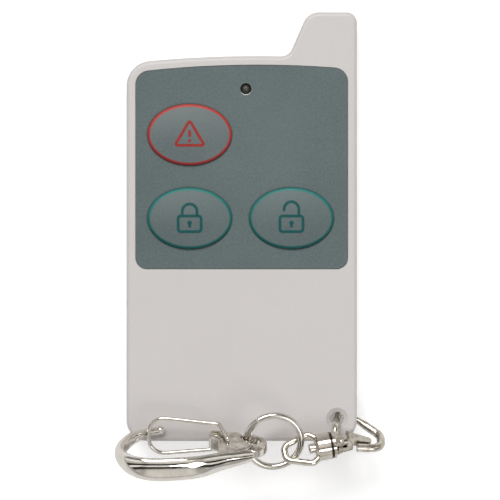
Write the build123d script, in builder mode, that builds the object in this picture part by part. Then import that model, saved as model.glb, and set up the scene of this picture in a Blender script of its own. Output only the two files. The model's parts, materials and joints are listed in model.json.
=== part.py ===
"""Alarm key fob: a slim three-button remote with a snap hook, a swivel eye, a ring and a wire-gate clip.

All lengths are in millimetres. X runs across the case to the right, Y along it towards the antenna
stub, and Z out of the front face. The origin is the middle of the flat back.
"""

import os
from math import cos, degrees, radians, sin, sqrt

from build123d import *

os.makedirs("parts", exist_ok=True)

# Case
body_width = 50.0
body_length = 83.6
body_thickness = 11.0
parting_height = 4.6
wall = 1.5
edge_round = 0.9
top_arc_radius = 258.0
top_arc_offset = 3.5
top_corner_radius = 5.4
bottom_corner_radius = 4.5
lip_height = 0.9
lip_clearance = 0.1
overrun = 0.5

# Antenna stub at the top right corner
stub_height = 9.5
stub_foot_width = 14.8
stub_top_width = 10.6
stub_foot_radius = 2.6
stub_shoulder_radius = 3.5
stub_tip_radius = 2.2

# Overlay and its recess
overlay_margin = 2.0
overlay_bottom = 37.4
overlay_arc_radius = 224.0
overlay_thickness = 0.45
recess_depth = 0.6
overlay_clearance = 0.12
overlay_top_corner = 3.0
overlay_bottom_corner = 2.4

# Buttons
button_length = 18.4
button_width = 13.34
left_column_x = -11.3
right_column_x = 10.8
upper_row = 66.5
lower_row = 48.35
button_rise = 1.15
button_crown_radius = 52.0
button_edge_round = 0.6
button_wall = 1.3
button_clearance = 0.15
button_flange = 0.7
button_flange_thickness = 0.6
button_travel = 0.3
flange_gap = 0.1
stem_radius = 1.7

# Indicator lamp
lamp_x = 0.9
lamp_row = 76.5
lamp_hole_radius = 1.2
lamp_radius = 1.05
lamp_flange_radius = 1.45
lamp_flange_height = 0.8
lamp_depth = 0.5

# Key hole through the thin tab at the lower right corner
hole_inset = 4.3
hole_up = 4.9
hole_radius = 1.5
tab_thickness = 2.2
front_dish_radius = 2.35
back_dish_radius = 2.2
dish_depth = 0.6
pocket_radius = 6.0

# Screws and their posts
screw_radius = 1.0
screw_length = 7.0
screw_head_radius = 1.8
screw_head_height = 1.3
screw_head_sink = 0.3
screw_clearance = 0.1
screw_fit = 0.02
screw_slot_width = 0.5
screw_slot_length = 2.2
screw_slot_depth = 0.6
post_radius = 2.6
screw_inset = 3.9
screw_top_up = 75.6
screw_bottom_up = 8.4

# Power and electronics
cell_radius = 10.0
cell_thickness = 3.2
cell_cap_radius = 8.8
cell_cap_height = 0.3
cell_up = 24.0
strap_thickness = 0.25
strap_width = 5.0
strap_clearance = 0.2
contact_thickness = 0.3
contact_length = 9.0
contact_width = 4.0
board_thickness = 1.0
board_width = 37.6
board_length = 66.5
board_bottom = 12.8
board_corner = 1.5
switch_size = 6.0
switch_height = 1.4
switch_corner = 0.4
plunger_radius = 1.15
plunger_clearance = 0.1
plunger_sink = 0.7
chip_length = 5.0
chip_width = 4.0
chip_height = 1.5
chip_lead_length = 1.0
chip_lead_width = 0.4
chip_lead_thickness = 0.2
chip_lead_pitch = 1.27
chip_lead_count = 4
chip_up = 33.0
resonator_radius = 2.3
resonator_height = 1.8
resonator_rim = 0.4
resonator_rim_thickness = 0.4
resonator_x = 12.0
resonator_up = 69.0
transistor_length = 2.9
transistor_width = 1.3
transistor_height = 1.0
transistor_up = 62.0
antenna_wire_radius = 0.35
antenna_bend = 2.0
antenna_reach = 11.5
antenna_height = 2.0

# Snap hook
bar_radius = 0.72
hook_radius = 0.92
neck_rise = 4.1
neck_drop = 3.0
neck_lean_shares = (0.136, 0.434, -1.0)
neck_bend = 2.0
back_bend = 1.4
shoulder_bend = 2.4
mouth_bend = 2.7
back_gap = 0.9
hook_exit = 0.6
hook_reach = 5.2
hook_mouth_lift = 3.4
hook_tip_below = 1.4
hook_bend_below = 1.6
hook_bend_lift = 2.6
hook_shoulder_up = 1.1
hook_shoulder_rise = 1.0
taper_length = 1.6
collar_radius = 2.85
collar_length = 0.8
base_radius = 2.45
base_end_radius = 1.6
base_length = 3.6
base_half_depth = 1.6
collar_back = 1.3
collar_below = 0.85
collar_lift = 4.1
swivel_angle = 10.0
swivel_slope_share = 0.1
neck_root = 1.2
neck_inset = 1.3

# Lever of the snap hook
lever_thickness = 1.2
lever_root_radius = 1.2
lever_half_width = 0.9
lever_inner_width = 4.0
lever_notch_run = 0.6
lever_tip_radius = 0.9
lever_front_depth = 1.45
lever_back_depth = 0.9
lever_tip_half_depth = 0.8
lever_shoulder_low = 2.5
lever_shoulder_high = 3.5
lever_reach_share = 0.45
lever_gap = 0.12
lever_slot_gap = 0.35
lever_slot_reach = 2.9
lever_swing = 16.0
pivot_along = 1.9
pivot_out = 1.2
pin_radius = 0.4
pin_head_radius = 0.62
pin_fit = 0.02
spring_radius = 0.75

# Swivel eye and its rivet
swivel_gap = 0.12
eye_base_radius = 2.95
eye_base_length = 3.4
eye_base_round = 0.5
eye_wire_radius = 0.72
eye_length = 10.1
eye_half_width = 3.4
eye_end_half_width = 1.6
eye_root_half_width = 2.1
eye_root_run = 1.8
eye_bend = 1.6
eye_root_bend = 1.5
eye_plane_tilt = 20.0
rivet_radius = 0.7
rivet_head_radius = 1.1
rivet_head_length = 1.3
rivet_head_round = 0.35
rivet_depth = 0.55
rivet_fit = 0.05
rivet_press = 0.02

# Jump ring
ring_radius = 5.97
ring_wire_radius = 0.72
ring_split = 0.3
ring_split_angle = 125.0
ring_tilt = 21.5
ring_pass = 7.2
ring_pass_angle = -24.7

# Clip body
clip_tilt = 60.0
clip_slack = 0.87
clip_drop = 0.57
limb_half_width = 1.3
neck_radius = 0.85
nose_radius = 0.95
hub_half_depth = 1.9
hub_corner = 0.9
hub_round = 0.6
clip_eye_radius = 3.6
clip_eye_half_depth = 1.1
clip_eye_round = 0.4
clip_eye_hole_length = 4.4
clip_eye_hole_width = 3.4
clip_eye_drop = 0.9
clip_length = 28.7
clip_width = 14.4

# Outline of the clip, as shares of its length and width from the eye's hole
nose_shares = (-0.679, 0.429)
neck_shares = (-0.79, 0.355)
limb_shares = [
    (-0.872, 0.228),
    (-0.952, -0.007),
    (-0.98, -0.275),
    (-0.893, -0.61),
    (-0.735, -0.735),
    (-0.557, -0.72),
    (-0.347, -0.626),
    (-0.221, -0.496),
    (-0.095, -0.392),
    (0.0, -0.3),
]
limb_depth_shares = [1.0, 1.15, 1.4, 1.9, 2.15, 2.15, 2.0, 1.7, 1.4, 1.1]
hub_outline_shares = [
    (-0.312, 0.235),
    (-0.19, 0.2),
    (-0.075, 0.17),
    (-0.03, -0.05),
    (0.02, -0.2),
    (-0.03, -0.32),
    (-0.12, -0.42),
    (-0.25, -0.53),
    (-0.24, -0.3),
    (-0.225, -0.06),
    (-0.312, 0.06),
]
gate_pivot_shares = (-0.171, -0.13)
gate_root_shares = (-0.233, 0.238)
gate_end_shares = (-0.767, 0.271)

# Wire gate
gate_wire_radius = 0.43
gate_fit = 0.05
gate_hole_depth = 1.2
gate_bend = 3.4
gate_shoulder_bend = 1.0
gate_half_width = 4.75
gate_root_half_width = 3.1
gate_crank = 2.6
gate_foot_bend = 0.5


# Heights
face_z = body_thickness
inner_face_z = face_z - wall
tab_under_z = face_z - tab_thickness
cell_z = wall + strap_thickness
board_z = cell_z + cell_thickness + contact_thickness
board_top_z = board_z + board_thickness
switch_top_z = board_top_z + switch_height
flange_top_z = inner_face_z - flange_gap
flange_z = flange_top_z - button_flange_thickness
plunger_top_z = switch_top_z + button_travel + flange_gap

# Places across and along the case
half_width = body_width / 2
bottom_y = -body_length / 2
top_y = body_length / 2
stub_top_y = top_y + stub_height
hole_x = half_width - hole_inset
hole_y = bottom_y + hole_up
lamp_y = bottom_y + lamp_row
cell_y = bottom_y + cell_up
button_places = {
    "panic": (left_column_x, bottom_y + upper_row),
    "arm": (left_column_x, bottom_y + lower_row),
    "disarm": (right_column_x, bottom_y + lower_row),
}
screw_places = [
    (-half_width + screw_inset, bottom_y + screw_top_up),
    (half_width - screw_inset, bottom_y + screw_top_up),
    (-half_width + screw_inset, bottom_y + screw_bottom_up),
]


def arc_y(x, crest_y, arc_radius):
    """The height at x of a shallow arc whose crest is at crest_y."""
    return crest_y - arc_radius + sqrt(arc_radius**2 - (x - top_arc_offset) ** 2)


def corner_at(sketch, x, y):
    """The corner of a sketch nearest to a place, in the sketch's own plane."""
    return sketch.vertices().sort_by_distance((x, y, 0))[0]


def case_outline():
    """The outline of the case with its antenna stub, seen from the front."""
    left_top = (-half_width, arc_y(-half_width, top_y, top_arc_radius))
    foot_x = half_width - stub_foot_width
    foot = (foot_x, arc_y(foot_x, top_y, top_arc_radius))
    shoulder = (half_width - stub_top_width, stub_top_y)
    tip = (half_width, stub_top_y)
    with BuildSketch(mode=Mode.PRIVATE) as outline:
        with BuildLine():
            ThreePointArc(left_top, (top_arc_offset, top_y), foot)
            Polyline(foot, shoulder, tip, (half_width, bottom_y), (-half_width, bottom_y), left_top)
        make_face()
        fillet(corner_at(outline, *foot), stub_foot_radius)
        fillet(corner_at(outline, *shoulder), stub_shoulder_radius)
        fillet(corner_at(outline, *tip), stub_tip_radius)
        fillet(corner_at(outline, *left_top), top_corner_radius)
        fillet(corner_at(outline, -half_width, bottom_y), bottom_corner_radius)
        fillet(corner_at(outline, half_width, bottom_y), bottom_corner_radius)
    return outline.sketch


def overlay_outline():
    """The outline of the overlay, whose top follows a shallow arc."""
    side = half_width - overlay_margin
    low = bottom_y + overlay_bottom
    crest = top_y - overlay_margin
    left_top = (-side, arc_y(-side, crest, overlay_arc_radius))
    right_top = (side, arc_y(side, crest, overlay_arc_radius))
    with BuildSketch(mode=Mode.PRIVATE) as outline:
        with BuildLine():
            ThreePointArc(left_top, (top_arc_offset, crest), right_top)
            Polyline(right_top, (side, low), (-side, low), left_top)
        make_face()
        fillet(corner_at(outline, *left_top), overlay_top_corner)
        fillet(corner_at(outline, *right_top), overlay_top_corner)
        fillet(corner_at(outline, -side, low), overlay_bottom_corner)
        fillet(corner_at(outline, side, low), overlay_bottom_corner)
    return outline.sketch


def inset(face, distance):
    """A copy of an outline drawn in by a distance."""
    with BuildSketch(mode=Mode.PRIVATE) as inner:
        add(face)
        offset(amount=-distance)
    return inner.sketch


case_face = case_outline()
cavity_face = inset(case_face, wall)
overlay_face = overlay_outline()


# Front shell
with BuildPart() as front_shell:
    with BuildSketch(Plane.XY.offset(parting_height)):
        add(case_face)
    extrude(amount=face_z - parting_height)
    fillet(front_shell.faces().sort_by(Axis.Z)[-1].edges(), edge_round)
    with BuildSketch(Plane.XY.offset(parting_height)):
        add(cavity_face)
        with Locations((hole_x, hole_y)):
            Circle(pocket_radius + wall, mode=Mode.SUBTRACT)
    extrude(amount=inner_face_z - parting_height, mode=Mode.SUBTRACT)
    # rebate for the rear shell's lip
    with BuildSketch(Plane.XY.offset(parting_height)):
        add(inset(case_face, wall / 2))
        with Locations((hole_x, hole_y)):
            Circle(pocket_radius + wall, mode=Mode.SUBTRACT)
    extrude(amount=lip_height + lip_clearance, mode=Mode.SUBTRACT)
    # screw bosses
    with BuildSketch(Plane.XY.offset(parting_height)):
        with Locations(screw_places):
            Circle(post_radius)
    extrude(amount=inner_face_z - parting_height)
    with BuildSketch(Plane.XY.offset(parting_height)):
        with Locations(screw_places):
            Circle(screw_radius + screw_fit)
    extrude(amount=inner_face_z - parting_height - screw_clearance, mode=Mode.SUBTRACT)
    # recess and openings for the overlay, the buttons and the lamp
    with BuildSketch(Plane.XY.offset(face_z - recess_depth)):
        add(inset(overlay_face, -overlay_clearance))
    extrude(amount=recess_depth + overrun, mode=Mode.SUBTRACT)
    with BuildSketch(Plane.XY.offset(inner_face_z - overrun)):
        with Locations(list(button_places.values())):
            Ellipse(button_length / 2 + button_clearance, button_width / 2 + button_clearance)
        with Locations((lamp_x, lamp_y)):
            Circle(lamp_hole_radius)
    extrude(amount=wall + overrun * 2, mode=Mode.SUBTRACT)
    # pocket behind the key hole's tab
    with BuildSketch(Plane.XY.offset(parting_height)):
        with Locations((hole_x, hole_y)):
            Circle(pocket_radius)
    extrude(amount=tab_under_z - parting_height, mode=Mode.SUBTRACT)
    # key hole, dished on both sides
    with Locations((hole_x, hole_y, face_z - tab_thickness / 2)):
        Cylinder(hole_radius, tab_thickness + overrun, mode=Mode.SUBTRACT)
    with Locations((hole_x, hole_y, face_z - dish_depth / 2)):
        Cone(hole_radius, front_dish_radius, dish_depth, mode=Mode.SUBTRACT)
    with Locations((hole_x, hole_y, tab_under_z + dish_depth / 2)):
        Cone(back_dish_radius, hole_radius, dish_depth, mode=Mode.SUBTRACT)

# Rear shell
with BuildPart() as rear_shell:
    with BuildSketch():
        add(case_face)
    extrude(amount=parting_height)
    fillet(rear_shell.faces().sort_by(Axis.Z)[0].edges(), edge_round)
    with BuildSketch(Plane.XY.offset(wall)):
        add(cavity_face)
        with Locations((hole_x, hole_y)):
            Circle(pocket_radius + wall, mode=Mode.SUBTRACT)
    extrude(amount=parting_height - wall, mode=Mode.SUBTRACT)
    # lip that locates the front shell
    with BuildSketch(Plane.XY.offset(parting_height)):
        add(inset(case_face, wall / 2 + lip_clearance))
        add(cavity_face, mode=Mode.SUBTRACT)
        with Locations((hole_x, hole_y)):
            Circle(pocket_radius + wall + lip_clearance, mode=Mode.SUBTRACT)
        with Locations(screw_places):
            Circle(post_radius + lip_clearance, mode=Mode.SUBTRACT)
    extrude(amount=lip_height)
    # screw posts with counterbored holes
    with BuildSketch(Plane.XY.offset(wall)):
        with Locations(screw_places):
            Circle(post_radius)
    extrude(amount=parting_height - wall)
    with BuildSketch():
        with Locations(screw_places):
            Circle(screw_radius + screw_clearance)
    extrude(amount=parting_height, mode=Mode.SUBTRACT)
    with BuildSketch():
        with Locations(screw_places):
            Circle(screw_head_radius + screw_clearance)
    extrude(amount=screw_head_height + screw_head_sink, mode=Mode.SUBTRACT)
    # pocket behind the key hole's tab
    with BuildSketch():
        with Locations((hole_x, hole_y)):
            Circle(pocket_radius)
    extrude(amount=parting_height, mode=Mode.SUBTRACT)

# Case screws
with BuildPart() as case_screws:
    with BuildSketch(Plane.XY.offset(screw_head_sink)):
        with Locations(screw_places):
            Circle(screw_head_radius)
    extrude(amount=screw_head_height)
    with BuildSketch(Plane.XY.offset(screw_head_sink + screw_head_height)):
        with Locations(screw_places):
            Circle(screw_radius)
    extrude(amount=screw_length)
    with BuildSketch(Plane.XY.offset(screw_head_sink)):
        with Locations(screw_places):
            Rectangle(screw_slot_length, screw_slot_width)
            Rectangle(screw_slot_width, screw_slot_length)
    extrude(amount=screw_slot_depth, mode=Mode.SUBTRACT)

# Overlay
with BuildPart() as keypad_overlay:
    with BuildSketch(Plane.XY.offset(face_z - recess_depth)):
        add(overlay_face)
        with Locations(list(button_places.values())):
            Ellipse(
                button_length / 2 + button_clearance,
                button_width / 2 + button_clearance,
                mode=Mode.SUBTRACT,
            )
        with Locations((lamp_x, lamp_y)):
            Circle(lamp_hole_radius, mode=Mode.SUBTRACT)
    extrude(amount=overlay_thickness)


def button_cap(place):
    """A crowned oval cap with a flange that holds it in and a stem over its switch."""
    crest_z = face_z + button_rise
    with BuildPart() as cap:
        with BuildSketch(Plane.XY.offset(flange_z)):
            with Locations(place):
                Ellipse(button_length / 2, button_width / 2)
        extrude(amount=crest_z - flange_z)
        with Locations((*place, crest_z - button_crown_radius)):
            Sphere(button_crown_radius, rotation=(90, 0, 0), mode=Mode.INTERSECT)
        fillet(cap.edges().group_by(Axis.Z)[-1], button_edge_round)
        with BuildSketch(Plane.XY.offset(flange_z)):
            with Locations(place):
                Ellipse(button_length / 2 + button_flange, button_width / 2 + button_flange)
        extrude(amount=button_flange_thickness)
        with BuildSketch(Plane.XY.offset(flange_z)):
            with Locations(place):
                Ellipse(button_length / 2 - button_wall, button_width / 2 - button_wall)
        extrude(amount=face_z - flange_z - button_wall / 2, mode=Mode.SUBTRACT)
        with BuildSketch(Plane.XY.offset(plunger_top_z)):
            with Locations(place):
                Circle(stem_radius)
        extrude(amount=face_z - plunger_top_z)
    return cap


def switch_base(place):
    """The body of a tact switch, bored for its plunger."""
    with BuildPart() as base:
        with BuildSketch(Plane.XY.offset(board_top_z)):
            with Locations(place):
                RectangleRounded(switch_size, switch_size, switch_corner)
        extrude(amount=switch_height)
        with BuildSketch(Plane.XY.offset(switch_top_z)):
            with Locations(place):
                Circle(plunger_radius + plunger_clearance)
        extrude(amount=-plunger_sink - button_travel, mode=Mode.SUBTRACT)
    return base


def switch_plunger(place):
    """The round plunger of a tact switch."""
    with BuildPart() as plunger:
        with BuildSketch(Plane.XY.offset(switch_top_z - plunger_sink + plunger_clearance)):
            with Locations(place):
                Circle(plunger_radius)
        extrude(amount=plunger_top_z - switch_top_z + plunger_sink - plunger_clearance)
    return plunger


# Buttons with their switches
key_parts = {}
for name, place in button_places.items():
    key_parts[f"{name}_button"] = button_cap(place)
    key_parts[f"{name}_switch"] = switch_base(place)
    key_parts[f"{name}_plunger"] = switch_plunger(place)

# Indicator lamp
with BuildPart() as indicator_lamp:
    with BuildSketch(Plane.XY.offset(board_top_z)):
        with Locations((lamp_x, lamp_y)):
            Circle(lamp_flange_radius)
    extrude(amount=lamp_flange_height)
    with BuildSketch(Plane.XY.offset(board_top_z)):
        with Locations((lamp_x, lamp_y)):
            Circle(lamp_radius)
    extrude(amount=face_z - lamp_depth - lamp_radius - board_top_z)
    with Locations((lamp_x, lamp_y, face_z - lamp_depth - lamp_radius)):
        Sphere(lamp_radius)

# Circuit board
board_y = bottom_y + board_bottom + board_length / 2
with BuildPart() as circuit_board:
    with BuildSketch(Plane.XY.offset(board_z)):
        with Locations((0, board_y)):
            RectangleRounded(board_width, board_length, board_corner)
        with Locations(screw_places):
            Circle(post_radius + lip_clearance, mode=Mode.SUBTRACT)
    extrude(amount=board_thickness)

# Encoder chip with its two rows of leads
chip_y = bottom_y + chip_up
with BuildPart() as encoder_chip:
    with BuildSketch(Plane.XY.offset(board_top_z + chip_lead_thickness)):
        with Locations((0, chip_y)):
            Rectangle(chip_length, chip_width)
    extrude(amount=chip_height)
    with BuildSketch(Plane.XY.offset(board_top_z)):
        with Locations((0, chip_y)):
            with GridLocations(chip_lead_pitch, 0, chip_lead_count, 1):
                Rectangle(chip_lead_width, chip_width + chip_lead_length * 2)
    extrude(amount=chip_lead_thickness)

# Resonator can
with BuildPart() as saw_resonator:
    with BuildSketch(Plane.XY.offset(board_top_z)):
        with Locations((resonator_x, bottom_y + resonator_up)):
            Circle(resonator_radius + resonator_rim)
    extrude(amount=resonator_rim_thickness)
    with BuildSketch(Plane.XY.offset(board_top_z)):
        with Locations((resonator_x, bottom_y + resonator_up)):
            Circle(resonator_radius)
    extrude(amount=resonator_height)

# Transmitter transistor
with BuildPart() as rf_transistor:
    with BuildSketch(Plane.XY.offset(board_top_z)):
        with Locations((resonator_x, bottom_y + transistor_up)):
            Rectangle(transistor_length, transistor_width)
    extrude(amount=transistor_height)

# Antenna loop, from the board up into the stub
board_end_y = bottom_y + board_bottom + board_length
antenna_left = half_width - stub_foot_width + wall + antenna_bend
antenna_z = board_top_z + antenna_height
antenna_points = [
    (antenna_left, board_end_y - antenna_bend, board_top_z),
    (antenna_left, board_end_y - antenna_bend, antenna_z),
    (half_width - stub_top_width + wall + antenna_bend, board_end_y + antenna_reach, antenna_z),
    (half_width - wall - antenna_bend, board_end_y + antenna_reach, antenna_z),
    (half_width - wall - antenna_bend, board_end_y + antenna_bend, antenna_z),
]
with BuildPart() as antenna_loop:
    with BuildLine() as antenna_line:
        FilletPolyline(antenna_points, radius=[antenna_height / 2, antenna_bend, antenna_bend])
    with BuildSketch(Plane(origin=antenna_points[0], z_dir=(0, 0, 1))):
        Circle(antenna_wire_radius)
    sweep()

# Coin cell
with BuildPart() as coin_cell:
    with BuildSketch(Plane.XY.offset(cell_z)):
        with Locations((0, cell_y)):
            Circle(cell_radius)
    extrude(amount=cell_thickness - cell_cap_height)
    with BuildSketch(Plane.XY.offset(cell_z)):
        with Locations((0, cell_y)):
            Circle(cell_cap_radius)
    extrude(amount=cell_thickness)

# Cell clip: a strap under the cell with a leg up to the board on each side
strap_half = cell_radius + strap_clearance + strap_thickness
with BuildPart() as cell_clip:
    with BuildSketch(Plane.XZ.offset(-cell_y - strap_width / 2)):
        with BuildLine():
            Polyline(
                (-strap_half, wall),
                (strap_half, wall),
                (strap_half, board_z),
                (strap_half - strap_thickness, board_z),
                (strap_half - strap_thickness, cell_z),
                (-strap_half + strap_thickness, cell_z),
                (-strap_half + strap_thickness, board_z),
                (-strap_half, board_z),
                close=True,
            )
        make_face()
    extrude(amount=strap_width)

# Spring contact between the cell and the board
with BuildPart() as cell_contact:
    with BuildSketch(Plane.XY.offset(board_z - contact_thickness)):
        with Locations((0, cell_y)):
            SlotOverall(contact_length, contact_width)
    extrude(amount=contact_thickness)


# Directions of the swivel, the ring and the clip
swivel_axis = Vector(
    cos(radians(swivel_angle)), sin(radians(swivel_angle)), -swivel_slope_share
).normalized()
collar_centre = Vector(hole_x - collar_back, bottom_y - collar_below, face_z + collar_lift)

# Snap hook: its bar's route, from the collar through the key hole and round the corner
hole_centre = Vector(hole_x, hole_y, face_z - tab_thickness / 2)
neck_lean = Vector(*neck_lean_shares)
neck_top = hole_centre - neck_lean * neck_rise
neck_foot = hole_centre + neck_lean * neck_drop
behind_z = tab_under_z - bar_radius - back_gap
hook_exit_point = Vector(half_width + hook_exit, hole_y - bar_radius, behind_z)
hook_shoulder = Vector(
    half_width + hook_reach, bottom_y + hook_shoulder_up, behind_z + hook_shoulder_rise
)
hook_bend_point = Vector(
    half_width + hook_reach, bottom_y - hook_bend_below, face_z + hook_bend_lift
)
hook_tip = Vector(half_width, bottom_y - hook_tip_below, face_z + hook_mouth_lift)
to_bend = hook_bend_point - hook_tip
to_exit = hook_exit_point - hook_tip
hook_normal = to_bend.cross(to_exit).normalized()
lever_pivot_on_axis = collar_centre + swivel_axis * pivot_along
inward = hook_normal.cross(hook_bend_point - hook_tip).normalized()
taper_direction = (hook_shoulder - hook_exit_point).normalized()
taper_end = hook_exit_point + taper_direction * taper_length
neck_start = collar_centre + swivel_axis * neck_inset + inward * neck_root
lever_pivot = lever_pivot_on_axis - inward * pivot_out
rivet_plane = Plane(origin=collar_centre, x_dir=hook_normal, z_dir=swivel_axis)


def revolved(origin, axis, profile):
    """Adds a solid of revolution about an axis, from (distance along it, radius) points."""
    side = Plane(origin=origin, z_dir=axis).x_dir
    plane = Plane(origin=origin, x_dir=axis, z_dir=axis.cross(side))
    with BuildSketch(mode=Mode.PRIVATE) as section:
        with BuildLine():
            Polyline(*profile, close=True)
        make_face()
    revolve(plane * section.sketch, axis=Axis(origin, axis))


lever_slot_half = lever_thickness / 2 + lever_slot_gap
lever_tip_centre = (
    hook_tip
    + (hook_bend_point - hook_tip) * lever_reach_share
    + inward * (hook_radius + lever_gap + lever_tip_radius)
)
lever_direction = (lever_tip_centre - lever_pivot).normalized()
lever_plane = Plane(origin=lever_pivot, x_dir=lever_direction, z_dir=hook_normal)
lever_length = (lever_tip_centre - lever_pivot).length
limb_end = lever_plane.to_local_coords(hook_tip)
limb_run = (lever_plane.to_local_coords(hook_bend_point) - limb_end).normalized()
limb_inward = Vector(-limb_run.Y, limb_run.X)
lever_toe = Vector(lever_length, 0)
lever_toe_low = tuple(lever_toe - limb_inward * lever_tip_radius)[:2]
lever_toe_end = tuple(lever_toe + limb_run * lever_tip_radius)[:2]
lever_toe_high = tuple(lever_toe + limb_inward * lever_tip_radius)[:2]
lever_notch_place = limb_end + limb_inward * (hook_radius + lever_gap) - limb_run * lever_notch_run
lever_notch = tuple(lever_notch_place)[:2]
lever_heel = (lever_shoulder_low, -lever_half_width)
lever_shoulder = (lever_shoulder_high, lever_inner_width)

with BuildPart() as hook_body:
    revolved(
        collar_centre,
        swivel_axis,
        [
            (0, 0),
            (0, collar_radius),
            (collar_length, collar_radius),
            (collar_length, base_radius),
            (base_length, base_end_radius),
            (base_length, 0),
        ],
    )
    # flats on both sides of the base
    for side in (1, -1):
        with BuildSketch(rivet_plane.offset(collar_length)):
            with Locations((side * (base_half_depth + collar_radius / 2), 0)):
                Rectangle(collar_radius, collar_radius * 2)
        extrude(amount=base_length, mode=Mode.SUBTRACT)
    # bar through the key hole, which thickens into the hook
    with BuildLine() as neck_line:
        FilletPolyline(
            [neck_start, neck_top, neck_foot, hook_exit_point],
            radius=[neck_bend, back_bend],
        )
    with BuildSketch(Plane(origin=neck_line.line @ 0, z_dir=neck_line.line % 0)):
        Circle(bar_radius)
    sweep()
    with Locations(Location(hook_exit_point)):
        Sphere(bar_radius)
    with BuildSketch(Plane(origin=hook_exit_point, z_dir=taper_direction)):
        Circle(bar_radius)
    with BuildSketch(Plane(origin=taper_end, z_dir=taper_direction)):
        Circle(hook_radius)
    loft()
    with BuildLine() as hook_line:
        FilletPolyline(
            [taper_end, hook_shoulder, hook_bend_point, hook_tip],
            radius=[shoulder_bend, mouth_bend],
        )
    with BuildSketch(Plane(origin=taper_end, z_dir=taper_direction)):
        Circle(hook_radius)
    sweep()
    # slot for the lever
    slot_half_width = lever_root_radius + lever_gap
    with BuildSketch(lever_plane.offset(-lever_slot_half)):
        Circle(slot_half_width)
        with BuildLine():
            Polyline(
                (0, -slot_half_width - base_radius),
                (lever_slot_reach, -slot_half_width - base_radius),
                (lever_slot_reach, slot_half_width + lever_slot_reach * sin(radians(lever_swing))),
                (0, slot_half_width),
                close=True,
            )
        make_face()
    extrude(amount=lever_slot_half * 2, mode=Mode.SUBTRACT)
    # bores for the pin and the rivet
    with BuildSketch(lever_plane.offset(-collar_radius)):
        Circle(pin_radius + pin_fit)
    extrude(amount=collar_radius * 2, mode=Mode.SUBTRACT)
    with Locations(Location(lever_pivot + hook_normal * base_half_depth)):
        Sphere(pin_head_radius + pin_fit, mode=Mode.SUBTRACT)
    with BuildSketch(rivet_plane):
        Circle(rivet_radius + rivet_press)
    extrude(amount=rivet_depth, mode=Mode.SUBTRACT)

# Lever of the snap hook: a thin root in the slot and a stout tapered arm outside it
with BuildPart() as lever_arm:
    with BuildSketch(lever_plane.offset(-lever_back_depth)):
        with BuildLine():
            Polyline(lever_toe_high, lever_shoulder, lever_heel, lever_notch, lever_toe_low)
            ThreePointArc(lever_toe_low, lever_toe_end, lever_toe_high)
        make_face()
    extrude(amount=lever_back_depth + lever_front_depth)
    with BuildSketch(Plane(origin=lever_pivot, x_dir=lever_direction, z_dir=lever_plane.y_dir)):
        with BuildLine():
            Polyline(
                (0, lever_front_depth),
                (lever_shoulder_high, lever_front_depth),
                (lever_length + lever_tip_radius, lever_tip_half_depth),
                (lever_length + lever_tip_radius, -lever_tip_half_depth),
                (lever_shoulder_high, -lever_back_depth),
                (0, -lever_back_depth),
                close=True,
            )
        make_face()
    extrude(amount=lever_length, both=True, mode=Mode.INTERSECT)

with BuildPart() as hook_lever:
    add(lever_arm.part)
    with BuildSketch(lever_plane.offset(-lever_thickness / 2)):
        Circle(lever_root_radius)
        with BuildLine():
            Polyline(
                (0, lever_root_radius),
                (lever_shoulder_high, lever_root_radius),
                lever_notch,
                (lever_shoulder_low, -lever_root_radius),
                (0, -lever_root_radius),
                close=True,
            )
        make_face()
        Circle(pin_radius + rivet_fit, mode=Mode.SUBTRACT)
    extrude(amount=lever_thickness)

# Lever pin with its rounded head
with BuildPart() as hook_lever_pin:
    with BuildSketch(lever_plane.offset(-base_half_depth)):
        Circle(pin_radius)
    extrude(amount=base_half_depth * 2)
    with Locations(Location(lever_pivot + hook_normal * base_half_depth)):
        Sphere(pin_head_radius)

# Lever spring: a small coil round the pin, beside the lever
with BuildPart() as hook_lever_spring:
    with BuildSketch(lever_plane.offset(lever_thickness / 2 + swivel_gap / 2)):
        Circle(spring_radius)
        Circle(pin_radius + pin_fit, mode=Mode.SUBTRACT)
    extrude(amount=lever_slot_half - lever_thickness / 2 - swivel_gap)

# Swivel eye: a base disc and a wire loop, turned a little about the swivel axis
eye_origin = collar_centre - swivel_axis * swivel_gap
eye_side = Vector(0, 1, 0) - swivel_axis * swivel_axis.dot(Vector(0, 1, 0))
eye_side = eye_side.normalized().rotate(Axis((0, 0, 0), swivel_axis), -eye_plane_tilt)
eye_plane = Plane(
    origin=eye_origin, x_dir=-swivel_axis, z_dir=(-swivel_axis).cross(eye_side)
)
root_s = eye_base_length - eye_wire_radius
eye_points = [
    (root_s, eye_root_half_width),
    (root_s + eye_root_run, eye_half_width),
    (eye_length, eye_end_half_width),
    (eye_length, -eye_end_half_width),
    (root_s + eye_root_run, -eye_half_width),
    (root_s, -eye_root_half_width),
]
with BuildPart() as swivel_eye:
    with BuildLine(eye_plane) as eye_line:
        FilletPolyline(eye_points, radius=[eye_root_bend, eye_bend, eye_bend, eye_root_bend])
    with BuildSketch(Plane(origin=eye_line.line @ 0, z_dir=eye_line.line % 0)):
        Circle(eye_wire_radius)
    sweep()
    revolved(
        eye_origin,
        -swivel_axis,
        [
            (0, 0),
            (0, eye_base_radius),
            (eye_base_length - eye_base_round, eye_base_radius),
            (eye_base_length, eye_base_radius - eye_base_round * 2),
            (eye_base_length, 0),
        ],
    )
    with BuildSketch(Plane(origin=eye_origin, z_dir=-swivel_axis)):
        Circle(rivet_radius + rivet_fit)
    extrude(amount=eye_base_length, mode=Mode.SUBTRACT)

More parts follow.
